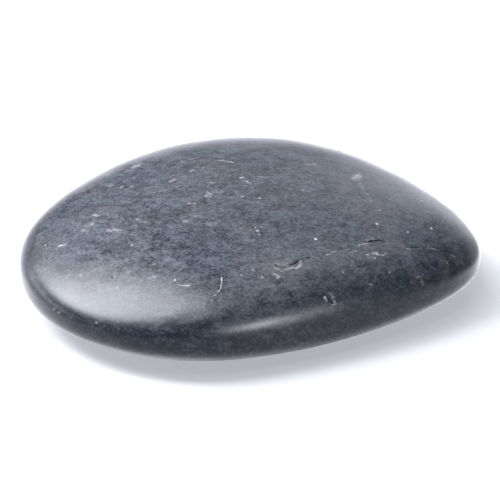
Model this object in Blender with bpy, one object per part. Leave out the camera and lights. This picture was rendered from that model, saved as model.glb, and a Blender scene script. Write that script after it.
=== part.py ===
"""A river pebble: one flat, egg-shaped stone of dark basalt, worn smooth by water.

The stone lies on its worn belly. X runs along it to the narrow tip, Y runs across it
and Z points up. The origin is on the surface under it, below the middle of its outline.

Until the last step the shape is measured from the middle of its girdle, the widest line
round the stone. A direction from there becomes one point of the surface, so a sphere of
directions becomes the whole stone.
"""

import functools
import math

import bmesh
import bpy
from mathutils import Euler, Vector, noise
from mathutils.geometry import intersect_point_line

# Driving dimensions, in metres.
LENGTH = 0.0800
BREADTH = 0.0604
CROWN_HEIGHT = 0.0097
BELLY_DEPTH = 0.0088
REST_WEAR = 0.00012

# 2 gives the profile of an ellipse, and a larger number a flatter face and fuller edge.
# It rises by the further numbers towards the front and the blunt end, and falls opposite.
CROWN_FULLNESS = 2.0
CROWN_FULLER_FRONT = 0.11
CROWN_FULLER_BLUNT_END = 0.05
BELLY_FULLNESS = 3.0
BELLY_FULLER_FRONT = 0.16

# Departures from an ellipse, as shares of the breadth or height half a length away.
FRONT_NARROWING = 0.20
BOTH_ENDS_NARROWING = 0.16
TIP_THINNING = 0.07
SIDE_BLEND = 0.5

# How far the two ends and the top of the crown lie towards the front.
ENDS_FORWARD = 0.0054
CROWN_FORWARD = 0.0009

# Faces rubbed nearly flat: how far each one's outward direction tilts from straight up and
# turns from the front towards the tip, in degrees, its distance from the middle of the
# girdle, and how wide the wear rounds its edges.
FLATS = (
    (77, 20, 0.0280, 0.0022),
    (29, -31, 0.0187, 0.0010),
)

# Broad unevenness that the river leaves.
SWELL_SPACING = 0.022
SWELL_HEIGHT = 0.0003

# The crack along the crown: x, y and depth at each bend.
CRACK_HALF_WIDTH = 0.00032
CRACK = (
    (0.0025, -0.0203, 0.00008),
    (0.0050, -0.0198, 0.00028),
    (0.0072, -0.0186, 0.00050),
    (0.0084, -0.0176, 0.00034),
    (0.0105, -0.0171, 0.00030),
    (0.0133, -0.0156, 0.00022),
    (0.0159, -0.0146, 0.00026),
    (0.0190, -0.0129, 0.00018),
    (0.0206, -0.0119, 0.00040),
    (0.0237, -0.0119, 0.00036),
    (0.0262, -0.0123, 0.00014),
    (0.0287, -0.0119, 0.00024),
    (0.0322, -0.0116, 0.00012),
    (0.0345, -0.0117, 0.00004),
)

# Pits and nicks. The first two numbers are the direction that becomes the middle of the
# pit: its turn from the tip round to the back and its rise above the girdle, in degrees.
# The others are the pit's radius and its depth.
PITS = (
    (-69.5, 22.6, 0.0013, 0.00040),
    (-81.5, 50.6, 0.0007, 0.00025),
    (-42.7, 13.5, 0.0009, 0.00020),
    (-27.8, 18.7, 0.0006, 0.00012),
    (-139.2, 38.0, 0.0006, 0.00016),
    (107.0, 45.0, 0.0007, 0.00016),
    (160.0, 35.0, 0.0006, 0.00014),
    (60.0, 30.0, 0.0008, 0.00020),
    (150.0, -55.0, 0.0010, 0.00030),
    (-20.0, -50.0, 0.0008, 0.00022),
    (60.0, -60.0, 0.0006, 0.00018),
    (-130.0, -50.0, 0.0007, 0.00020),
)

# The mesh starts as an even sphere, and its edges are halved near the marks.
SPHERE_SUBDIVISIONS = 5
FINE_EDGE = 0.00042
EDGE_GROWTH = 0.7
MOST_HALVINGS = 5

BASALT = (0.085, 0.090, 0.105, 1.0)
BASALT_ROUGHNESS = 0.42


def remove_scene_objects():
    """Empties the scene."""
    for found in list(bpy.data.objects):
        bpy.data.objects.remove(found)


def fullness_towards(direction):
    """How full the stone's profile is on the side that a direction points to."""
    level = math.hypot(direction.x, direction.y) or 1.0
    front = -direction.y / level
    blunt_end = -direction.x / level
    if direction.z < 0:
        return BELLY_FULLNESS + BELLY_FULLER_FRONT * front
    return CROWN_FULLNESS + CROWN_FULLER_FRONT * front + CROWN_FULLER_BLUNT_END * blunt_end


def rubbed(point):
    """The point after the flats have taken what stood out beyond them."""
    for tilt, turn, distance, softness in FLATS:
        facing = Vector((0, 0, 1))
        facing.rotate(Euler((math.radians(tilt), 0, math.radians(turn))))
        beyond = (point.dot(facing) - distance) / softness
        point = point - softness * math.log1p(math.exp(beyond)) * facing
    return point


def worn_form(direction):
    """The point of the smooth stone that lies in a unit direction."""
    height = CROWN_HEIGHT if direction.z >= 0 else BELLY_DEPTH
    fullness = fullness_towards(direction)
    level = math.hypot(direction.x, direction.y)
    reach = (level**fullness + abs(direction.z) ** fullness) ** (-1 / fullness)
    along, across, up = reach * direction
    front = 0.5 * (1 - math.tanh(across / SIDE_BLEND))
    narrowing = FRONT_NARROWING * front * along + BOTH_ENDS_NARROWING * along**2
    forward = ENDS_FORWARD * along**2 + CROWN_FORWARD * max(up, 0) ** 2
    return rubbed(Vector((
        LENGTH / 2 * along,
        BREADTH / 2 * across * (1 - narrowing) - forward,
        height * up * (1 - TIP_THINNING * along),
    )))


def outward(point):
    """The way out of the stone at a point, taking the stone as an ellipsoid."""
    thickness = CROWN_HEIGHT + BELLY_DEPTH
    steepness = (point.x / LENGTH**2, point.y / BREADTH**2, point.z / thickness**2)
    return Vector(steepness).normalized()


def swell(point):
    """How far the broad unevenness lifts a point."""
    return SWELL_HEIGHT * noise.noise(point / SWELL_SPACING)


def crack_stretches():
    """Each straight stretch of the crack: its two ends in plan and their depths."""
    for (x1, y1, depth1), (x2, y2, depth2) in zip(CRACK, CRACK[1:]):
        yield Vector((x1, y1, 0)), Vector((x2, y2, 0)), depth1, depth2


def nearest_of_crack(point):
    """The distance in plan from a point to the crack, and the crack's depth there."""
    flat = Vector((point.x, point.y, 0))
    found = []
    for start, end, start_depth, end_depth in crack_stretches():
        _, share = intersect_point_line(flat, start, end)
        share = min(max(share, 0.0), 1.0)
        distance = (flat - start.lerp(end, share)).length
        found.append((distance, start_depth + share * (end_depth - start_depth)))
    return min(found)


def crack_depth(point):
    """How far the crack lowers a point, with its deepest line in the middle."""
    if point.z < 0:
        return 0.0
    distance, depth = nearest_of_crack(point)
    return depth * max(0.0, 1 - distance / CRACK_HALF_WIDTH)


@functools.cache
def pits():
    """Each pit's middle on the smooth stone, its radius and its depth."""
    found = []
    for turn, rise, radius, depth in PITS:
        direction = Vector((1, 0, 0))
        direction.rotate(Euler((0, -math.radians(rise), math.radians(turn))))
        found.append((worn_form(direction), radius, depth))
    return found


def pit_depth(point):
    """How far the pits lower a point, each a rounded bowl."""
    depth = 0.0
    for middle, radius, deepest in pits():
        share = (point - middle).length / radius
        if share < 1:
            depth = max(depth, deepest * (1 - share**2) ** 2)
    return depth


def stone_point(direction):
    """The point of the finished surface that lies in a unit direction."""
    smooth = worn_form(direction)
    lift = swell(smooth) - crack_depth(smooth) - pit_depth(smooth)
    return smooth + lift * outward(smooth)


def room_to_marks(point):
    """How far a point is from the edge of the nearest pit or of the crack."""
    rooms = [(point - middle).length - radius for middle, radius, _ in pits()]
    if point.z >= 0:
        rooms.append(nearest_of_crack(point)[0] - CRACK_HALF_WIDTH)
    return max(0.0, min(rooms))


def is_coarse(edge):
    """Whether an edge of the sphere is too long for the marks near it."""
    first, second = (vert.co for vert in edge.verts)
    length = (worn_form(first) - worn_form(second)).length
    middle = worn_form((first + second).normalized())
    return length > FINE_EDGE + EDGE_GROWTH * room_to_marks(middle)


def refine(sphere):
    """Halves the coarse edges near the marks, round by round."""
    for _ in range(MOST_HALVINGS):
        coarse = [edge for edge in sphere.edges if is_coarse(edge)]
        if not coarse:
            return
        bmesh.ops.subdivide_edges(sphere, edges=coarse, cuts=1)
        split = [face for face in sphere.faces if len(face.verts) > 3]
        bmesh.ops.triangulate(sphere, faces=split)
        for vert in sphere.verts:
            vert.co.normalize()


def middle_of(places):
    """The middle between the lowest and the highest of some coordinates."""
    return (min(places) + max(places)) / 2


def settle(stone):
    """Wears the belly flat where it rests, and stands the stone on the origin."""
    rest = min(vert.co.z for vert in stone.verts) + REST_WEAR
    for vert in stone.verts:
        vert.co.z = max(vert.co.z, rest)
    middle_x = middle_of([vert.co.x for vert in stone.verts])
    middle_y = middle_of([vert.co.y for vert in stone.verts])
    bmesh.ops.translate(stone, verts=stone.verts, vec=(-middle_x, -middle_y, -rest))


def basalt():
    """Dark blue-grey basalt, worn to a satin finish."""
    material = bpy.data.materials.new("basalt")
    material.use_nodes = True
    surface = material.node_tree.nodes["Principled BSDF"]
    surface.inputs["Base Color"].default_value = BASALT
    surface.inputs["Roughness"].default_value = BASALT_ROUGHNESS
    surface.inputs["Metallic"].default_value = 0.0
    return material


def build_pebble(collection):
    """The whole stone, as one closed mesh."""
    stone = bmesh.new()
    bmesh.ops.create_icosphere(stone, subdivisions=SPHERE_SUBDIVISIONS, radius=1.0)
    refine(stone)
    for vert in stone.verts:
        vert.co = stone_point(vert.co)
    settle(stone)
    mesh = bpy.data.meshes.new("pebble")
    stone.to_mesh(mesh)
    stone.free()
    mesh.shade_smooth()
    mesh.materials.append(basalt())
    pebble = bpy.data.objects.new("pebble", mesh)
    collection.objects.link(pebble)


def main():
    remove_scene_objects()
    collection = bpy.data.collections.new("river pebble")
    bpy.context.scene.collection.children.link(collection)
    build_pebble(collection)


main()
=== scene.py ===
"""The looks of the river pebble: its fine surface, its basalt and a plain studio round it."""

import functools
import math

import bmesh
import bpy
import numpy as np
from mathutils import Euler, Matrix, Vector, noise


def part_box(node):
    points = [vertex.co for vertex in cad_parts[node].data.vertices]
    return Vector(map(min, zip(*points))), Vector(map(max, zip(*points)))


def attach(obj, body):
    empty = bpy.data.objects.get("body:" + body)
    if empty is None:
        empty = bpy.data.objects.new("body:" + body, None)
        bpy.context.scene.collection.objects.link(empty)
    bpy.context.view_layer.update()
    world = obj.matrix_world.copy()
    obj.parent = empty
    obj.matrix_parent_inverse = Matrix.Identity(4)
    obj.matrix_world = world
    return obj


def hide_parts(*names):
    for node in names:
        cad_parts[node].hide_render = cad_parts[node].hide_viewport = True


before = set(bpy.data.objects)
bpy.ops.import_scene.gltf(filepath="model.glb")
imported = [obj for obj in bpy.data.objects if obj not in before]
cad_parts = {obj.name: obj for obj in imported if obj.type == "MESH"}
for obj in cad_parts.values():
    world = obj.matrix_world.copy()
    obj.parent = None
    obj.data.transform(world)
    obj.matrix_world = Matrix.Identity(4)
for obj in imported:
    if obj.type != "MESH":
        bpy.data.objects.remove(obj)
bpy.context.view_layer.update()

CAD_NODE = "pebble"

# The stone's form, in metres, as part.py has it. It is measured from the middle of the girdle.
LENGTH = 0.0800
BREADTH = 0.0604
CROWN_HEIGHT = 0.0097
BELLY_DEPTH = 0.0088
REST_WEAR = 0.00012
CROWN_FULLNESS = 2.0
CROWN_FULLER_FRONT = 0.11
CROWN_FULLER_BLUNT_END = 0.05
BELLY_FULLNESS = 3.0
BELLY_FULLER_FRONT = 0.16
FRONT_NARROWING = 0.20
BOTH_ENDS_NARROWING = 0.16
TIP_THINNING = 0.07
SIDE_BLEND = 0.5
ENDS_FORWARD = 0.0054
CROWN_FORWARD = 0.0009

# Faces rubbed nearly flat: how far each one's outward direction tilts from straight up and turns
# from the front towards the tip, in degrees, its distance from the middle of the girdle, and how
# wide the wear rounds its edges.
FLATS = (
    (77, 20, 0.0280, 0.0022),
    (29, -31, 0.0187, 0.0010),
)

# Unevenness: the broad swell of part.py, and finer ones that the solids leave out.
SWELL_SPACING = 0.022
SWELL_HEIGHT = 0.0003
RIPPLE_SPACING = 0.0060
RIPPLE_HEIGHT = 0.00005
DIMPLE_SPACING = 0.0018
DIMPLE_HEIGHT = 0.000008

# Keeps divisions finite at the poles of the stone.
LEAST_LEVEL = 1e-9

# How far the edges of cracks, pits and marks wander, and over what distance.
WANDER = 0.00010
WANDER_SPACING = 0.0007

# The crack along the crown: x, y and depth at each bend. It follows part.py's crack, but it is
# narrower, has more bends and is deep only in short stretches. A shallow shoulder on both sides
# is as deep as it gets where the crack is at least this many times deeper.
CRACK_HALF_WIDTH = 0.00014
CRACK_SHOULDER = 0.0006
CRACK_SHOULDER_DEPTH = 0.00004
FULL_SHOULDER_DEPTHS = 4
CRACK = (
    (0.0025, -0.0203, 0.00002),
    (0.0050, -0.0196, 0.00003),
    (0.0058, -0.0193, 0.00006),
    (0.0065, -0.0189, 0.00020),
    (0.0070, -0.0185, 0.00036),
    (0.0074, -0.0181, 0.00020),
    (0.0079, -0.0178, 0.00003),
    (0.0087, -0.0174, 0.00006),
    (0.0093, -0.0173, 0.00014),
    (0.0100, -0.0172, 0.00003),
    (0.0135, -0.0156, 0.00004),
    (0.0159, -0.0146, 0.00002),
    (0.0190, -0.0129, 0.00003),
    (0.0199, -0.0124, 0.00026),
    (0.0208, -0.0120, 0.00028),
    (0.0215, -0.0118, 0.00028),
    (0.0224, -0.0119, 0.00024),
    (0.0232, -0.0121, 0.00002),
    (0.0258, -0.0127, 0.00002),
    (0.0266, -0.0125, 0.00010),
    (0.0282, -0.0120, 0.00014),
    (0.0292, -0.0119, 0.00003),
    (0.0345, -0.0117, 0.00002),
)

# Pits and nicks: turn and rise of the direction in degrees, radius and depth, and how much
# smaller both are here. They are part.py's pits, but the sixth is shallower, because at its full
# depth it showed as a dark dash at the top edge.
PIT_SHARE = 0.50
PITS = (
    (-69.5, 22.6, 0.0013, 0.00040),
    (-81.5, 50.6, 0.0007, 0.00025),
    (-42.7, 13.5, 0.0009, 0.00020),
    (-27.8, 18.7, 0.0006, 0.00012),
    (-139.2, 38.0, 0.0006, 0.00016),
    (107.0, 45.0, 0.0007, 0.00006),
    (160.0, 35.0, 0.0006, 0.00014),
    (60.0, 30.0, 0.0008, 0.00020),
    (150.0, -55.0, 0.0010, 0.00030),
    (-20.0, -50.0, 0.0008, 0.00022),
    (60.0, -60.0, 0.0006, 0.00018),
    (-130.0, -50.0, 0.0007, 0.00020),
)

# Marks on the crown: half width or radius, strength, and the places in plan, x and y, that each
# runs through.
PALE_MARKS = (
    # A short pale hair and the dash left of it.
    (0.00008, 0.85, (-0.0057, -0.0218), (-0.0058, -0.0233), (-0.0060, -0.0241), (-0.0071, -0.0251)),
    (0.00008, 0.8, (-0.0128, -0.0226), (-0.0112, -0.0229)),
    # Scratches high on the crown.
    (0.00015, 0.40, (-0.0053, 0.0121), (-0.0039, 0.0122), (-0.0032, 0.0115), (-0.0024, 0.0110)),
    (0.00014, 0.26, (0.0018, 0.0054), (0.0028, 0.0052), (0.0041, 0.0054)),
    (0.00012, 0.40, (-0.0049, 0.0167), (-0.0038, 0.0164)),
    (0.00012, 0.30, (0.0104, 0.0107), (0.0122, 0.0112)),
    (0.00026, 0.46, (-0.0014, 0.0051), (-0.0009, 0.0052)),
    (0.00022, 0.38, (-0.0011, 0.0041), (-0.0002, 0.0036), (0.0004, 0.0029)),
    # A chalky scuff on the way to the tip, and its faint tail.
    (0.00026, 0.36, (0.0187, 0.0068), (0.0193, 0.0081), (0.0199, 0.0095)),
    (0.00070, 0.34, (0.0189, 0.0072), (0.0195, 0.0084)),
    (0.00030, 0.07, (0.0195, 0.0056), (0.0203, 0.0022), (0.0211, -0.0008)),
    # Flaked patches on the left of the crown, all along the stone.
    (0.00036, 0.36, (-0.0200, 0.0130), (-0.0191, 0.0134)),
    (0.00026, 0.30, (-0.0198, 0.0142), (-0.0184, 0.0144)),
    (0.00024, 0.45, (-0.0212, 0.0121), (-0.0205, 0.0120)),
    (0.00026, 0.38, (-0.0244, 0.0065), (-0.0234, 0.0064)),
    (0.00020, 0.24, (-0.0223, 0.0050), (-0.0219, 0.0054)),
    (0.00020, 0.22, (-0.0207, 0.0050), (-0.0203, 0.0049)),
    (0.00032, 0.28, (-0.0136, 0.0051), (-0.0128, 0.0056)),
    (0.00022, 0.44, (-0.0100, 0.0083), (-0.0095, 0.0087)),
    (0.00016, 0.30, (-0.0115, 0.0127), (-0.0109, 0.0126)),
    (0.00030, 0.26, (-0.0073, 0.0005), (-0.0068, -0.0001)),
    (0.00030, 0.32, (-0.0076, -0.0007), (-0.0069, -0.0008)),
    (0.00024, 0.28, (-0.0106, -0.0027), (-0.0096, -0.0029)),
    (0.00026, 0.34, (-0.0269, -0.0029), (-0.0263, -0.0033)),
    (0.00040, 0.24, (-0.0245, -0.0081), (-0.0235, -0.0084), (-0.0227, -0.0087)),
    (0.00036, 0.22, (-0.0283, -0.0053), (-0.0273, -0.0055)),
    (0.00036, 0.16, (-0.0288, -0.0068), (-0.0281, -0.0071)),
    (0.00030, 0.20, (-0.0115, -0.0080), (-0.0111, -0.0079)),
    (0.00024, 0.24, (-0.0070, 0.0040), (-0.0062, 0.0036)),
    (0.00020, 0.60, (-0.0330, -0.0089), (-0.0320, -0.0092)),
    # The pale lip of the crack, stretch by stretch: a painted highlight along the lip.
    (0.00013, 0.28, (0.0034, -0.0199), (0.0038, -0.0200), (0.0042, -0.0201)),
    (0.00013, 0.34, (0.0043, -0.0205), (0.0046, -0.0204)),
    (0.00013, 0.28, (0.0048, -0.0203), (0.0054, -0.0200), (0.0059, -0.0198)),
    (0.00022, 0.34, (0.0062, -0.0197), (0.0068, -0.0197), (0.0073, -0.0195)),
    (0.00026, 0.44, (0.0076, -0.0184), (0.0078, -0.0188), (0.0076, -0.0192)),
    (0.00013, 0.24, (0.0104, -0.0173), (0.0108, -0.0173)),
    (0.00016, 0.26, (0.0123, -0.0164), (0.0128, -0.0163)),
    (0.00019, 0.32, (0.0133, -0.0158), (0.0140, -0.0155)),
    (0.00016, 0.30, (0.0145, -0.0154), (0.0147, -0.0153)),
    (0.00016, 0.24, (0.0159, -0.0146), (0.0161, -0.0146)),
    (0.00012, 0.14, (0.0162, -0.0155), (0.0169, -0.0153)),
    (0.00015, 0.26, (0.0171, -0.0149), (0.0174, -0.0151)),
    (0.00016, 0.20, (0.0180, -0.0136), (0.0186, -0.0132), (0.0196, -0.0128)),
    (0.00018, 0.14, (0.0194, -0.0121), (0.0199, -0.0119), (0.0206, -0.0117)),
    (0.00012, 0.16, (0.0262, -0.0129), (0.0269, -0.0127)),
    (0.00011, 0.16, (0.0299, -0.0116), (0.0308, -0.0115), (0.0319, -0.0115)),
    # A second line that runs beside the crack.
    (0.00016, 0.22, (0.0190, -0.0156), (0.0195, -0.0154), (0.0202, -0.0151)),
    (0.00030, 0.40, (0.0202, -0.0151), (0.0209, -0.0150)),
    (0.00013, 0.14, (0.0212, -0.0152), (0.0217, -0.0151)),
    (0.00017, 0.36, (0.0219, -0.0151), (0.0221, -0.0150)),
    (0.00011, 0.20, (0.0224, -0.0148), (0.0226, -0.0144)),
    (0.00009, 0.30, (0.0189, -0.0205), (0.0198, -0.0203)),
    # Flakes where the crack starts, and left of it.
    (0.00020, 0.24, (0.0035, -0.0189), (0.0040, -0.0190)),
    (0.00034, 0.10, (0.0045, -0.0191), (0.0055, -0.0191)),
    (0.00017, 0.24, (0.0028, -0.0211), (0.0035, -0.0213)),
    (0.00015, 0.30, (0.0035, -0.0213), (0.0039, -0.0214), (0.0040, -0.0216)),
    (0.00019, 0.38, (0.0040, -0.0216), (0.0036, -0.0219)),
    (0.00013, 0.22, (0.0005, -0.0215), (0.0005, -0.0218)),
    (0.00016, 0.32, (0.0009, -0.0214), (0.0011, -0.0219)),
    (0.00014, 0.26, (-0.0005, -0.0203), (-0.0001, -0.0206)),
    (0.00014, 0.22, (-0.0025, -0.0215), (-0.0021, -0.0213)),
    # The chipped rim of the pit on the flank, bit by bit.
    (0.00019, 0.48, (0.0116, -0.0237), (0.0119, -0.0239)),
    (0.00014, 0.34, (0.0123, -0.0231)),
    (0.00016, 0.38, (0.0127, -0.0231), (0.0129, -0.0234)),
    (0.00019, 0.54, (0.0132, -0.0236), (0.0134, -0.0238)),
    (0.00012, 0.36, (0.0127, -0.0240), (0.0131, -0.0239)),
    (0.00018, 0.16, (0.0142, -0.0235)),
    (0.00016, 0.16, (0.0109, -0.0249)),
    # Chips round the slit and the spot by the tip.
    (0.00013, 0.20, (0.0275, -0.0173), (0.0281, -0.0170), (0.0285, -0.0168), (0.0289, -0.0165)),
    (0.00010, 0.08, (0.0273, -0.0175), (0.0274, -0.0179)),
    (0.00010, 0.08, (0.0287, -0.0171), (0.0289, -0.0175)),
    (0.00011, 0.12, (0.0341, -0.0116), (0.0345, -0.0116), (0.0348, -0.0117)),
)

PALE_SPECKS = (
    # Bright single grains.
    (0.00023, 1.0, (0.0008, -0.0111)),
    (0.00017, 0.7, (0.0005, -0.0101)),
    (0.00017, 0.5, (0.0011, -0.0121)),
    (0.00016, 0.4, (0.0017, -0.0101)),
    (0.00020, 0.9, (0.0106, -0.0129)),
    (0.00023, 0.9, (-0.0206, -0.0128)),
    (0.00026, 0.9, (-0.0325, -0.0091)),
    (0.00017, 0.7, (-0.0354, -0.0075)),
    (0.00023, 0.8, (0.0216, -0.0076)),
    (0.00017, 0.5, (0.0224, -0.0033)),
    (0.00018, 0.7, (0.0303, 0.0028)),
    (0.00019, 0.9, (0.0312, -0.0062)),
    (0.00018, 0.5, (0.0268, -0.0086)),
    (0.00022, 0.8, (0.0205, -0.0159)),
    (0.00018, 0.6, (-0.0135, -0.0215)),
    (0.00019, 0.3, (-0.0294, -0.0166)),
    (0.00019, 0.7, (-0.0340, -0.0202)),
    (0.00017, 0.25, (-0.0269, -0.0253)),
    (0.00017, 0.4, (-0.0333, -0.0210)),
    (0.00017, 0.3, (-0.0076, -0.0259)),
    (0.00018, 0.4, (0.0092, 0.0010)),
    (0.00019, 0.4, (0.0059, 0.0081)),
    (0.00022, 0.35, (0.0230, -0.0179)),
    (0.00019, 0.25, (0.0148, -0.0196)),
    (0.00018, 0.25, (0.0333, -0.0133)),
    # Softer pale spots.
    (0.00024, 0.4, (-0.0013, -0.0013)),
    (0.00018, 0.5, (0.0016, -0.0018)),
    (0.00024, 0.3, (0.0062, -0.0012)),
    (0.00030, 0.3, (-0.0237, 0.0067)),
    (0.00036, 0.3, (-0.0239, -0.0085)),
    (0.00026, 0.3, (-0.0223, -0.0053)),
    (0.00026, 0.3, (-0.0196, -0.0062)),
    (0.00029, 0.2, (-0.0183, -0.0073)),
)

# Painted shade in the gapes of the crack, on the floors of the pits and in small holes, and a faint
# dark streak.
DARK_MARKS = (
    # Where the crack gapes.
    (0.00020, 0.95, (0.0067, -0.0188), (0.0070, -0.0185), (0.0073, -0.0182)),
    (0.00011, 0.50, (0.0070, -0.0187), (0.0071, -0.0191)),
    (0.00020, 0.50, (0.0058, -0.0189), (0.0065, -0.0190)),
    (0.00010, 0.55, (0.0077, -0.0179), (0.0084, -0.0176)),
    (0.00018, 0.90, (0.0088, -0.0174), (0.0094, -0.0173)),
    (0.00016, 0.55, (0.0109, -0.0168)),
    (0.00014, 0.65, (0.0036, -0.0194), (0.0041, -0.0195)),
    (0.00009, 0.30, (0.0044, -0.0197), (0.0051, -0.0196), (0.0058, -0.0193)),
    (0.00016, 0.65, (0.0142, -0.0150), (0.0149, -0.0148)),
    (0.00018, 1.00, (0.0198, -0.0124), (0.0203, -0.0121)),
    (0.00013, 1.00, (0.0203, -0.0121), (0.0215, -0.0118), (0.0224, -0.0119)),
    (0.00017, 1.00, (0.0271, -0.0122), (0.0274, -0.0122)),
    (0.00014, 0.85, (0.0276, -0.0122), (0.0282, -0.0120)),
    # The floors of the pits.
    (0.00022, 1.00, (0.0121, -0.0237), (0.0125, -0.0238), (0.0128, -0.0239)),
    (0.00018, 1.00, (0.0282, -0.0173), (0.0282, -0.0176), (0.0281, -0.0179)),
    (0.00012, 0.45, (0.0330, -0.0134), (0.0329, -0.0141)),
    (0.00011, 0.35, (0.0338, -0.0129), (0.0338, -0.0136)),
    (0.00016, 0.45, (-0.0003, -0.0195)),
    # Small holes, and a dark streak high on the left.
    (0.00024, 0.90, (-0.0203, 0.0145)),
    (0.00024, 1.00, (-0.0216, 0.0048), (-0.0211, 0.0047)),
    (0.00030, 0.14, (-0.0292, 0.0051), (-0.0273, 0.0056)),
    (0.00013, 0.45, (-0.0243, -0.0183)),
    (0.00015, 0.80, (-0.0240, -0.0189)),
    (0.00013, 0.40, (-0.0221, -0.0208)),
    (0.00016, 0.30, (0.0025, -0.0220)),
    (0.00018, 0.20, (-0.0014, -0.0215)),
)

RUST_MARKS = (
    (0.0012, 0.55, (0.0035, -0.0196), (0.0058, -0.0190)),
    (0.0010, 0.45, (0.0003, -0.0202), (0.0025, -0.0216)),
    (0.0009, 0.30, (-0.0011, -0.0106)),
    (0.0011, 0.45, (0.0276, -0.0176), (0.0287, -0.0173)),
    (0.0018, 0.30, (0.0328, -0.0138), (0.0350, -0.0125)),
    (0.0014, 0.25, (0.0230, -0.0125), (0.0255, -0.0128)),
    (0.0007, 0.40, (0.0132, -0.0240)),
    (0.0040, 0.20, (0.0185, 0.0060), (0.0191, -0.0024)),
)

# A mark is full within this share of its radius, and gone beyond the other.
MARK_HEART = 0.4
MARK_EDGE = 1.6

# How dark the painted shade is on the floors of the pits. It is full within the second share of a
# pit's radius, and gone beyond the first.
PIT_SHADE = 0.5
PIT_SHADE_EDGE = 0.8
PIT_SHADE_HEART = 0.3

# A place in plan is turned into a direction in this many rounds, not past this level.
PLACING_ROUNDS = 25
MOST_LEVEL = 0.9995

# The mesh starts as an even sphere. Its edges are halved where they are longer than the fine edge,
# which grows by a share of the distance from the nearest mark.
SPHERE_SUBDIVISIONS = 7
FINE_EDGE = 0.00011
EDGE_GROWTH = 0.36
MOST_HALVINGS = 5

# Colours of the stone, and how far each kind of unevenness turns it from dark to pale.
DARK_BASALT = (0.0142, 0.0186, 0.0270, 1.0)
PALE_BASALT = (0.210, 0.225, 0.262, 1.0)
RUST = (0.115, 0.095, 0.098, 1.0)
# The colour of the chalky pale marks, and of the painted highlight along the crack's lip.
CHALK_AND_LIP_HIGHLIGHT = (0.58, 0.58, 0.59, 1.0)
SHADOW = (0.006, 0.006, 0.007, 1.0)
PALENESS = 0.035
# How much paler the crown is painted: painted light on the crown, painted shade on the flanks.
PAINTED_CROWN_LIGHT = 0.190
CLOUD_CONTRAST = 0.35
MOTTLE_CONTRAST = 0.92
GRAIN_CONTRAST = 0.78
SALT_CONTRAST = 0.84
BLOTCH_PALENESS = 0.34
FLECK_PALENESS = 0.35
PATCH_PALENESS = 0.22

# The roughness of the crown, and what the paleness, the mottle and the marks add to it.
SATIN = 0.31
PALENESS_ROUGHNESS = 0.06
MOTTLE_ROUGHNESS = 0.12
PALE_MARK_ROUGHNESS = 0.25
RUST_ROUGHNESS = 0.10
SHADOW_ROUGHNESS = 0.35

# The belly is rougher by this much. That starts at the first height and is full at the second.
BELLY_ROUGHNESS = 0.50
BELLY_FROM = 0.0055
BELLY_TO = 0.0020

# The unevenness is fainter towards the tip: x where it starts to fade, x where it is least, and
# the share that is left there.
FADE_FROM = -0.028
FADE_TO = 0.020
FADED_SHARE = 0.65

# The crown is painted paler than the flanks: painted light on the crown and painted shade on the
# flanks, fading between these heights. The flanks are evener as well, and keep this share of the
# unevenness.
CROWN_FROM = 0.0095
CROWN_TO = 0.0165
EVEN_SHARE = 0.62

# Noises in the stone: the spacing of their largest lumps, their detail and their roughness. The
# salt is single crystals, and the dusting is where the blotches, flecks and patches lie. Each
# noise swings round the same middle.
NOISE_MIDDLE = 0.5
CLOUDS = (0.011, 3.0, 0.5)
MOTTLE = (0.0019, 3.0, 0.7)
GRAIN = (0.0007, 2.0, 0.7)
SALT = (0.00032, 1.0, 0.5)
DUSTING = (0.010, 3.0, 0.5)
BLOTCHES = (0.0024, 3.0, 0.65)
CASTS = (0.0090, 2.0, 0.5)

# The values of noise between which each of these comes in.
DUSTING_RANGE = (0.40, 0.62)
BLOTCH_RANGE = (0.56, 0.74)
PATCH_RANGE = (0.40, 0.60)
CAST_RANGE = (0.35, 0.65)
CRUMB_RANGE = (0.40, 0.60)
RUST_RANGE = (0.30, 0.65)

# Round dots: the width of their cells, the largest radius, and the share of cells with a dot. A
# dot is full within the second share of its radius, and gone beyond the first.
FLECKS = (0.0011, 0.00024, 0.6)
PATCHES = (0.0036, 0.0008, 0.55)
PORES = (0.0016, 0.00018, 0.4)
DOT_EDGE = 1.2
DOT_HEART = 0.6
LEAST_DOT = 1e-4

# The noises, the dusting aside, are drawn out along the stone: they are read from coordinates
# scaled by this.
DRAWN_OUT = (0.75, 1.0, 1.0)

# How strong the pale and the dark marks are at least, and what crumbs of grain add to that.
PALE_LEAST = 0.35
PALE_CRUMBS = 0.90
DARK_LEAST = 0.75
DARK_CRUMBS = 0.25

# Two casts that the grey turns to here and there, bluish and brownish.
COOL_CAST = (0.965, 1.005, 1.025, 1.0)
WARM_CAST = (1.045, 0.992, 0.985, 1.0)

# A Mix node's sockets for colours, by number, because its other sockets share their names.
MIX_SHARE = 0
MIX_FIRST = 6
MIX_SECOND = 7
MIX_RESULT = 2

# Relief too fine for the mesh, in metres.
GRAIN_HEIGHT = 0.0000032
MOTTLE_HEIGHT = 0.000008
PORE_DEPTH = 0.000012

# The camera, aimed a little below the middle of the stone.
CAMERA_AZIMUTH = -2.65
CAMERA_ELEVATION = 34.0
CAMERA_DISTANCE = 0.56
CAMERA_AIM = (0.00003, -0.00146, 0.00735)
CAMERA_LENS = 231.0
CAMERA_NEAREST = 0.01
CAMERA_FARTHEST = 20.0

# A plain floor, with a glow that brings it out white.
FLOOR_SIDE = 8.0
FLOOR_WHITE = (0.50, 0.50, 0.50, 1.0)
FLOOR_ROUGHNESS = 0.9
FLOOR_GLOW = 0.40

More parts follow.
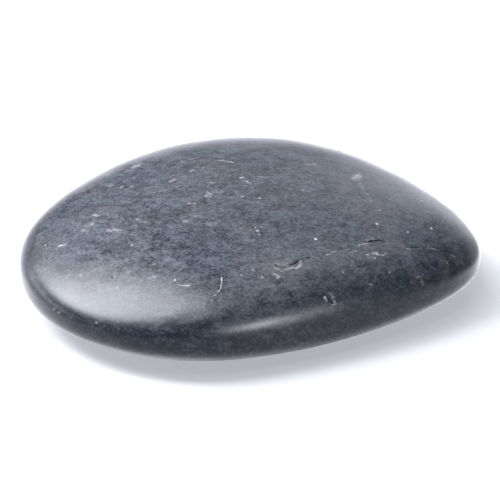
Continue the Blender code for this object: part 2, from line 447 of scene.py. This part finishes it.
# Soft boxes, which all face one point inside the stone: name, azimuth and elevation in degrees,
# half width and half height as seen from that point in degrees, and radiance.
LIGHTS = (
    ("key", 268, 62, 8, 14, 13.8),
    ("key_middle", 265, 52, 8, 11, 13.5),
    ("key_low", 251, 43, 14, 7.5, 7.4),
    ("key_left", 243, 31, 8, 7, 5.2),
    ("key_tail", 300, 79, 6, 5, 11.0),
    ("key_end", 348, 65, 5, 5, 9.5),
    ("glint_low", 28, 4, 2.2, 2, 125.0),
    ("glint", 26, 10.5, 3, 3.5, 24.0),
    ("glint_high", 21, 27, 3, 4, 6.0),
    ("left", 240, 28, 25, 16, 1.1),
    ("left_low", 261, 10, 26, 10, 3.8),
    ("back", 190, 30, 30, 15, 0.9),
    ("back_high", 204, 46, 8, 8, 1.5),
    ("back_low", 152, 5, 10, 4, 2.0),
    ("right", 135, 12, 32, 11, 1.25),
    ("top_right", 150, 60, 8, 8, 2.6),
    ("top", 0, 85, 20, 20, 0.7),
)
LIGHT_COLOUR = (0.955, 0.975, 1.05)
LIGHT_DISTANCE = 0.9
LIGHT_AIM = (0, 0, 0.01)

# The tint of the surroundings, and how bright they are at least.
WORLD_COLOUR = (1.0, 0.985, 1.08, 1.0)
WORLD_RADIANCE = 0.04

# The white floor is kept out of the stone's reflections, where it would be too bright. In its
# place they show surroundings that go by x, y and z of the direction of view. They turn paler
# downwards, between these two values of z.
BELOW_FROM = 0.0
BELOW_TO = -0.35
FLOOR_RADIANCE = 0.42

# They are paler still towards the back, between two values of y, and there they start to turn
# paler from a higher z.
BEHIND_FROM = -0.9
BEHIND_TO = 1.0
HAZE_FROM = 0.14
BEHIND_RADIANCE = 2.35

# What the back adds grows by this share towards the right, between two values of x. The growth
# is left out low down: it comes in between two values of z.
RIGHT_SHARE = 0.90
RIGHT_FROM = 0.0
RIGHT_TO = 0.35
RIGHT_LOW = -0.65
RIGHT_HIGH = -0.35


def worn_form(directions):
    """The points of the smooth stone that lie in unit directions, row by row."""
    x, y, z = directions.T
    on_crown = z >= 0
    level = np.hypot(x, y)
    front = -y / np.maximum(level, LEAST_LEVEL)
    blunt_end = -x / np.maximum(level, LEAST_LEVEL)
    crown_fullness = CROWN_FULLNESS + CROWN_FULLER_FRONT * front + CROWN_FULLER_BLUNT_END * blunt_end
    fullness = np.where(on_crown, crown_fullness, BELLY_FULLNESS + BELLY_FULLER_FRONT * front)
    height = np.where(on_crown, CROWN_HEIGHT, BELLY_DEPTH)
    reach = (level**fullness + np.abs(z) ** fullness) ** (-1 / fullness)
    along, across, up = reach * x, reach * y, reach * z
    front = 0.5 * (1 - np.tanh(across / SIDE_BLEND))
    narrowing = FRONT_NARROWING * front * along + BOTH_ENDS_NARROWING * along**2
    forward = ENDS_FORWARD * along**2 + CROWN_FORWARD * np.maximum(up, 0) ** 2
    return rubbed(np.stack([
        LENGTH / 2 * along,
        BREADTH / 2 * across * (1 - narrowing) - forward,
        height * up * (1 - TIP_THINNING * along),
    ], axis=1))


def rubbed(points):
    """The points after the flats have taken what stood out beyond them."""
    for tilt, turn, distance, softness in FLATS:
        facing = Vector((0, 0, 1))
        facing.rotate(Euler((math.radians(tilt), 0, math.radians(turn))))
        beyond = (points @ np.array(facing) - distance) / softness
        points = points - softness * np.logaddexp(0, beyond)[:, None] * np.array(facing)
    return points


def outward(points):
    """The way out of the stone at each point, taking the stone as an ellipsoid."""
    steepness = points / np.array([LENGTH, BREADTH, CROWN_HEIGHT + BELLY_DEPTH]) ** 2
    return steepness / np.linalg.norm(steepness, axis=1, keepdims=True)


def unevenness(points, spacing):
    """Smooth noise between about -1 and 1 at each point."""
    return np.array([noise.noise(Vector(point / spacing)) for point in points])


def wandered(points):
    """The points pushed about a little, which makes the edges of marks irregular."""
    push = np.array([noise.noise_vector(Vector(point / WANDER_SPACING)) for point in points])
    return points + WANDER * push


def nearest_of_route(points, route):
    """The distance in plan from each point to a route, and the route's value there."""
    route = np.array(route)
    best = np.full(len(points), np.inf)
    value = np.zeros(len(points))
    for start, end in zip(route, route[1:]):
        stretch = end[:2] - start[:2]
        share = np.clip((points[:, :2] - start[:2]) @ stretch / (stretch @ stretch), 0, 1)
        distance = np.linalg.norm(points[:, :2] - start[:2] - share[:, None] * stretch, axis=1)
        nearer = distance < best
        best[nearer] = distance[nearer]
        value[nearer] = (start[2] + share * (end[2] - start[2]))[nearer]
    return best, value


def crack_depth(points):
    """How far the crack lowers each point."""
    distance, depth = nearest_of_route(points, CRACK)
    cut = depth * np.clip(1 - distance / CRACK_HALF_WIDTH, 0, None)
    shoulder = CRACK_SHOULDER_DEPTH * np.exp(-((distance / CRACK_SHOULDER) ** 2))
    fade = np.clip(depth / CRACK_SHOULDER_DEPTH / FULL_SHOULDER_DEPTHS, 0, 1)
    return np.where(points[:, 2] >= 0, cut + fade * shoulder, 0)


def pits():
    """Each pit's middle on the smooth stone, its radius and its depth."""
    for turn, rise, radius, depth in PITS:
        direction = Vector((1, 0, 0))
        direction.rotate(Euler((0, -math.radians(rise), math.radians(turn))))
        yield worn_form(np.array([direction]))[0], PIT_SHARE * radius, PIT_SHARE * depth


def pit_depth(points):
    """How far the pits lower each point, each a rounded bowl."""
    depth = np.zeros(len(points))
    for middle, radius, deepest in pits():
        share = np.linalg.norm(points - middle, axis=1) / radius
        bowl = deepest * np.clip(1 - share**2, 0, None) ** 2
        depth = np.maximum(depth, bowl)
    return depth


@functools.cache
def on_crown(places):
    """The points of the smooth crown that lie over places in plan, row by row."""
    half = np.array([LENGTH, BREADTH]) / 2
    target = np.array(places)
    guess = target.copy()
    for _ in range(PLACING_ROUNDS):
        level = guess / half
        level /= np.maximum(np.linalg.norm(level, axis=1, keepdims=True) / MOST_LEVEL, 1)
        rise = np.sqrt(1 - (level**2).sum(axis=1))
        points = worn_form(np.column_stack([level, rise]))
        guess = level * half + target - points[:, :2]
    return points


def distance_to_line(points, line):
    """The distance from each point to a line through some points, or to a single point."""
    nearest = np.linalg.norm(points - line[0], axis=1)
    for start, end in zip(line, line[1:]):
        stretch = end - start
        share = np.clip((points - start) @ stretch / (stretch @ stretch), 0, 1)
        distance = np.linalg.norm(points - start - share[:, None] * stretch, axis=1)
        nearest = np.minimum(nearest, distance)
    return nearest


def strength_of(marks, points):
    """How strong the marks are at each point, from 0 to 1, with soft edges."""
    strength = np.zeros(len(points))
    for radius, strongest, *places in marks:
        share = distance_to_line(points, on_crown(tuple(places))) / radius
        strength = np.maximum(strength, strongest * smooth_step(MARK_EDGE, MARK_HEART, share))
    return strength


def smooth_step(low, high, values):
    """0 up to low and 1 from high on, with a smooth change between, or the other way round."""
    share = np.clip((values - low) / (high - low), 0, 1)
    return share**2 * (3 - 2 * share)


def pit_floor_shade(points):
    """How dark the painted shade on the floors of the pits is at each point."""
    darkness = np.zeros(len(points))
    for middle, radius, _ in pits():
        share = np.linalg.norm(points - middle, axis=1) / radius
        darkness = np.maximum(darkness, smooth_step(PIT_SHADE_EDGE, PIT_SHADE_HEART, share))
    return PIT_SHADE * darkness


def room_to_marks(points):
    """How far each point is from the edge of the nearest fine mark, pit or crack."""
    room = np.full(len(points), LENGTH)
    distance, _ = nearest_of_route(points, CRACK)
    room = np.where(points[:, 2] >= 0, distance - CRACK_HALF_WIDTH, room)
    for middle, radius, _ in pits():
        room = np.minimum(room, np.linalg.norm(points - middle, axis=1) - radius)
    for radius, _, *places in PALE_MARKS + PALE_SPECKS + DARK_MARKS:
        distance = distance_to_line(points, on_crown(tuple(places)))
        room = np.minimum(room, distance - MARK_EDGE * radius)
    return np.clip(room, 0, None)


def normalised(rows):
    """Each row at unit length."""
    return rows / np.linalg.norm(rows, axis=1, keepdims=True)


def coarse_edges(sphere):
    """The edges of the sphere that are too long for the marks near them."""
    sphere.verts.index_update()
    directions = np.array([vert.co for vert in sphere.verts])
    ends = np.array([[vert.index for vert in edge.verts] for edge in sphere.edges])
    points = worn_form(directions)
    lengths = np.linalg.norm(points[ends[:, 0]] - points[ends[:, 1]], axis=1)
    middles = worn_form(normalised(directions[ends[:, 0]] + directions[ends[:, 1]]))
    coarse = lengths > FINE_EDGE + EDGE_GROWTH * room_to_marks(middles)
    return [edge for edge, is_coarse in zip(sphere.edges, coarse) if is_coarse]


def refine(sphere):
    """Halves the coarse edges near the marks, round by round."""
    for _ in range(MOST_HALVINGS):
        coarse = coarse_edges(sphere)
        if not coarse:
            return
        bmesh.ops.subdivide_edges(sphere, edges=coarse, cuts=1)
        split = [face for face in sphere.faces if len(face.verts) > 3]
        bmesh.ops.triangulate(sphere, faces=split)
        for vert in sphere.verts:
            vert.co.normalize()


def surface_points(directions):
    """The finished surface in each direction, measured from the middle of the girdle."""
    smooth = worn_form(directions)
    lift = SWELL_HEIGHT * unevenness(smooth, SWELL_SPACING)
    lift += RIPPLE_HEIGHT * unevenness(smooth, RIPPLE_SPACING)
    lift += DIMPLE_HEIGHT * unevenness(smooth, DIMPLE_SPACING)
    ragged = wandered(smooth)
    lift -= crack_depth(ragged) + pit_depth(ragged)
    return smooth + lift[:, None] * outward(smooth)


def settled(points):
    """The points with the belly worn flat, standing where the solid stone stands."""
    low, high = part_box(CAD_NODE)
    rest = points[:, 2].min() + REST_WEAR
    points[:, 2] = np.maximum(points[:, 2], rest) - rest
    for axis in (0, 1):
        middle = (points[:, axis].min() + points[:, axis].max()) / 2
        points[:, axis] += (low[axis] + high[axis]) / 2 - middle
    return points


def paint(mesh, name, values):
    """Keeps one number for each vertex, for the material to read."""
    layer = mesh.attributes.new(name, "FLOAT", "POINT")
    layer.data.foreach_set("value", values.astype(np.float32))


def build_stone():
    """The stone as one closed mesh that stands for the solid."""
    sphere = bmesh.new()
    bmesh.ops.create_icosphere(sphere, subdivisions=SPHERE_SUBDIVISIONS, radius=1.0)
    refine(sphere)
    directions = np.array([vert.co for vert in sphere.verts])
    points = settled(surface_points(directions))
    for vert, point in zip(sphere.verts, points):
        vert.co = point
    mesh = bpy.data.meshes.new("pebble_surface")
    sphere.to_mesh(mesh)
    sphere.free()
    mesh.shade_smooth()
    ragged = wandered(worn_form(directions))
    paint(mesh, "pale", strength_of(PALE_MARKS + PALE_SPECKS, ragged))
    paint(mesh, "dark", np.maximum(strength_of(DARK_MARKS, ragged), pit_floor_shade(ragged)))
    paint(mesh, "rust", strength_of(RUST_MARKS, ragged))
    stone = bpy.data.objects.new("pebble_surface", mesh)
    bpy.context.scene.collection.objects.link(stone)
    return stone


class NodeTree:
    """The nodes of a material or of the surroundings, with a short call for each kind in use."""

    def __init__(self, tree, place):
        self.tree = tree
        self.place = self.node("ShaderNodeTexCoord", {}).outputs[place]

    def feed(self, socket, value):
        """Links a socket to another, or gives it a plain value."""
        if isinstance(value, bpy.types.NodeSocket):
            self.tree.links.new(value, socket)
        else:
            socket.default_value = value

    def node(self, kind, inputs, **settings):
        """A new node with its settings and inputs."""
        made = self.tree.nodes.new(kind)
        for name, value in settings.items():
            setattr(made, name, value)
        for name, value in inputs.items():
            self.feed(made.inputs[name], value)
        return made

    def mark(self, name):
        """One of the numbers that the mesh keeps for each vertex."""
        return self.node("ShaderNodeAttribute", {}, attribute_name=name).outputs["Fac"]

    def noise(self, spacing, detail, roughness, place=None):
        """Cloudy noise between 0 and 1, with its largest lumps a spacing apart."""
        inputs = {"Vector": place or self.place, "Scale": 1 / spacing}
        inputs.update(Detail=detail, Roughness=roughness)
        return self.node("ShaderNodeTexNoise", inputs).outputs["Fac"]

    def dots(self, spacing, radius, share):
        """Round dots, one for a share of the cells that are a spacing wide, of varied size."""
        inputs = {"Vector": self.place, "Scale": 1 / spacing, "Randomness": 1.0}
        cells = self.node("ShaderNodeTexVoronoi", inputs)
        chance = self.node("ShaderNodeSeparateColor", {"Color": cells.outputs["Color"]})
        chosen = self.step(chance.outputs[0], 1 - share, 1.0)
        size = self.sum(self.times(chosen, radius / spacing), LEAST_DOT)
        reach = self.times(cells.outputs["Distance"], self.calc("DIVIDE", 1.0, size))
        return self.step(reach, DOT_EDGE, DOT_HEART)

    def calc(self, operation, first, second, clamp=False):
        """The result of one operation on two numbers, kept within 0 and 1 if asked."""
        inputs = {0: first, 1: second}
        made = self.node("ShaderNodeMath", inputs, operation=operation, use_clamp=clamp)
        return made.outputs[0]

    def times(self, first, second):
        """The product of two numbers."""
        return self.calc("MULTIPLY", first, second)

    def sum(self, *terms):
        """The sum of some numbers."""
        total = terms[0]
        for term in terms[1:]:
            total = self.calc("ADD", total, term)
        return total

    def swing(self, value, contrast):
        """How far a noise is from its middle, times a contrast."""
        return self.times(self.sum(value, -NOISE_MIDDLE), contrast)

    def step(self, value, low, high):
        """A value brought to 0 at low and to 1 at high, with a smooth change between."""
        inputs = {"Value": value, "From Min": low, "From Max": high}
        made = self.node("ShaderNodeMapRange", inputs, interpolation_type="SMOOTHSTEP")
        return made.outputs["Result"]

    def blend(self, share, first, second, how="MIX"):
        """Two colours mixed, with the share of the second."""
        inputs = {MIX_SHARE: share, MIX_FIRST: first, MIX_SECOND: second}
        made = self.node("ShaderNodeMix", inputs, data_type="RGBA", blend_type=how)
        return made.outputs[MIX_RESULT]

    def tinted(self, colour, tint):
        """A colour times another."""
        return self.blend(1.0, colour, tint, "MULTIPLY")


def basalt():
    """Dark blue-grey basalt: cloudy, finely mottled, flecked with pale grains, satin worn."""
    material = bpy.data.materials.new("basalt")
    material.use_nodes = True
    surface = material.node_tree.nodes["Principled BSDF"]
    stone = NodeTree(material.node_tree, "Object")
    stretched = {"Vector": stone.place, "Scale": DRAWN_OUT}
    along = stone.node("ShaderNodeMapping", stretched).outputs["Vector"]
    clouds = stone.noise(*CLOUDS, along)
    mottle = stone.noise(*MOTTLE, along)
    grain = stone.noise(*GRAIN, along)
    salt = stone.noise(*SALT, along)
    dusting = stone.step(stone.noise(*DUSTING), *DUSTING_RANGE)
    blotches = stone.step(stone.noise(*BLOTCHES, along), *BLOTCH_RANGE)
    flecks = stone.dots(*FLECKS)
    patches = stone.times(stone.dots(*PATCHES), stone.step(mottle, *PATCH_RANGE))
    lumps = stone.sum(
        stone.swing(clouds, CLOUD_CONTRAST),
        stone.swing(mottle, MOTTLE_CONTRAST),
        stone.swing(grain, GRAIN_CONTRAST),
        stone.swing(salt, SALT_CONTRAST),
        stone.times(stone.times(blotches, dusting), BLOTCH_PALENESS),
        stone.times(stone.times(flecks, dusting), FLECK_PALENESS),
        stone.times(stone.times(patches, dusting), PATCH_PALENESS),
    )
    parts = stone.node("ShaderNodeSeparateXYZ", {"Vector": stone.place}).outputs
    faded = stone.sum(1.0, stone.times(stone.step(parts["X"], FADE_FROM, FADE_TO), FADED_SHARE - 1))
    height = stone.step(parts["Z"], CROWN_FROM, CROWN_TO)
    # Painted light on the crown and painted shade on the flanks, by height.
    painted_crown_light = stone.times(height, PAINTED_CROWN_LIGHT)
    faded = stone.times(faded, stone.sum(EVEN_SHARE, stone.times(height, 1 - EVEN_SHARE)))
    paleness = stone.sum(PALENESS, painted_crown_light, stone.times(lumps, faded))
    clamped = stone.calc("ADD", paleness, 0.0, clamp=True)
    cast = stone.step(stone.noise(*CASTS, along), *CAST_RANGE)
    tint = stone.blend(cast, COOL_CAST, WARM_CAST)
    colour = stone.tinted(stone.blend(clamped, DARK_BASALT, PALE_BASALT), tint)
    crumbs = stone.step(grain, *CRUMB_RANGE)
    rust = stone.times(stone.mark("rust"), stone.step(mottle, *RUST_RANGE))
    pale = stone.times(stone.mark("pale"), stone.sum(PALE_LEAST, stone.times(crumbs, PALE_CRUMBS)))
    dark = stone.times(stone.mark("dark"), stone.sum(DARK_LEAST, stone.times(crumbs, DARK_CRUMBS)))
    colour = stone.blend(rust, colour, RUST)
    # Chalky pale marks, and the painted highlight along the crack's lip.
    colour = stone.blend(pale, colour, CHALK_AND_LIP_HIGHLIGHT)
    # Painted shade: the dark marks and the floors of the pits.
    colour = stone.blend(dark, colour, SHADOW)
    stone.feed(surface.inputs["Base Color"], colour)
    roughness = stone.sum(
        SATIN,
        stone.times(stone.step(parts["Z"], BELLY_FROM, BELLY_TO), BELLY_ROUGHNESS),
        stone.times(clamped, PALENESS_ROUGHNESS),
        stone.swing(mottle, MOTTLE_ROUGHNESS),
        stone.times(pale, PALE_MARK_ROUGHNESS),
        stone.times(rust, RUST_ROUGHNESS),
        stone.times(dark, SHADOW_ROUGHNESS),
    )
    stone.feed(surface.inputs["Roughness"], roughness)
    relief = stone.sum(
        stone.times(grain, GRAIN_HEIGHT),
        stone.times(mottle, MOTTLE_HEIGHT),
        stone.times(stone.dots(*PORES), -PORE_DEPTH),
    )
    bump = stone.node("ShaderNodeBump", {"Height": relief, "Strength": 1.0, "Distance": 1.0})
    stone.feed(surface.inputs["Normal"], bump.outputs["Normal"])
    return material


def plain_material(name, colour, roughness, glow):
    """One even colour with a little light of its own, for the studio."""
    material = bpy.data.materials.new(name)
    material.use_nodes = True
    surface = material.node_tree.nodes["Principled BSDF"]
    surface.inputs["Base Color"].default_value = colour
    surface.inputs["Roughness"].default_value = roughness
    surface.inputs["Emission Color"].default_value = (*LIGHT_COLOUR, 1.0)
    surface.inputs["Emission Strength"].default_value = glow
    return material


def build_floor():
    """A plain white floor under the stone."""
    mesh = bpy.data.meshes.new("floor")
    plane = bmesh.new()
    bmesh.ops.create_grid(plane, x_segments=1, y_segments=1, size=FLOOR_SIDE / 2)
    plane.to_mesh(mesh)
    plane.free()
    floor = bpy.data.objects.new("floor", mesh)
    mesh.materials.append(plain_material("floor", FLOOR_WHITE, FLOOR_ROUGHNESS, FLOOR_GLOW))
    bpy.context.scene.collection.objects.link(floor)
    floor.visible_glossy = False


def away(azimuth, elevation):
    """The unit vector towards a compass azimuth and an elevation, both in degrees.

    Azimuth 0 is towards -Y, the front, and 90 towards +X.
    """
    turn, rise = math.radians(azimuth), math.radians(elevation)
    level = math.cos(rise)
    return Vector((math.sin(turn) * level, -math.cos(turn) * level, math.sin(rise)))


def aim(thing, target):
    """Turns a camera or a light so that it looks at a point."""
    thing.rotation_euler = (target - thing.location).to_track_quat("-Z", "Y").to_euler()


def build_camera():
    """The camera, in front of the stone and above it."""
    data = bpy.data.cameras.new("camera")
    data.lens = CAMERA_LENS
    data.clip_start = CAMERA_NEAREST
    data.clip_end = CAMERA_FARTHEST
    camera = bpy.data.objects.new("camera", data)
    bpy.context.scene.collection.objects.link(camera)
    target = Vector(CAMERA_AIM)
    camera.location = target + CAMERA_DISTANCE * away(CAMERA_AZIMUTH, CAMERA_ELEVATION)
    aim(camera, target)
    bpy.context.scene.camera = camera


def build_light(name, azimuth, elevation, half_width, half_height, radiance):
    """A soft box that faces the stone."""
    data = bpy.data.lights.new(name, "AREA")
    data.shape = "RECTANGLE"
    data.size = 2 * LIGHT_DISTANCE * math.tan(math.radians(half_width))
    data.size_y = 2 * LIGHT_DISTANCE * math.tan(math.radians(half_height))
    data.energy = radiance * math.pi * data.size * data.size_y
    data.color = LIGHT_COLOUR
    light = bpy.data.objects.new(name, data)
    bpy.context.scene.collection.objects.link(light)
    light.location = LIGHT_DISTANCE * away(azimuth, elevation) + Vector(LIGHT_AIM)
    aim(light, Vector(LIGHT_AIM))
    light.visible_camera = False


def build_world():
    """Dim surroundings, paler below, and palest behind the stone on the right."""
    world = bpy.data.worlds.new("studio")
    world.use_nodes = True
    studio = NodeTree(world.node_tree, "Generated")
    x, y, z = studio.node("ShaderNodeSeparateXYZ", {"Vector": studio.place}).outputs
    right = studio.times(studio.step(x, RIGHT_FROM, RIGHT_TO), studio.step(z, RIGHT_LOW, RIGHT_HIGH))
    growth = studio.sum(1.0, studio.times(right, RIGHT_SHARE))
    below = studio.step(z, BELOW_FROM, BELOW_TO)
    haze = studio.step(z, HAZE_FROM, BELOW_TO)
    behind = studio.times(studio.step(y, BEHIND_FROM, BEHIND_TO), haze)
    behind = studio.times(behind, growth)
    floor = studio.sum(studio.times(below, FLOOR_RADIANCE), studio.times(behind, BEHIND_RADIANCE))
    radiance = studio.sum(WORLD_RADIANCE, floor)
    background = world.node_tree.nodes["Background"]
    background.inputs["Color"].default_value = WORLD_COLOUR
    studio.feed(background.inputs["Strength"], radiance)
    bpy.context.scene.world = world


bpy.context.scene.view_settings.view_transform = "Standard"
build_camera()
build_world()
build_floor()
for light in LIGHTS:
    build_light(*light)
stone = build_stone()
stone.data.materials.append(basalt())
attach(stone, "root")
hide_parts(CAD_NODE)
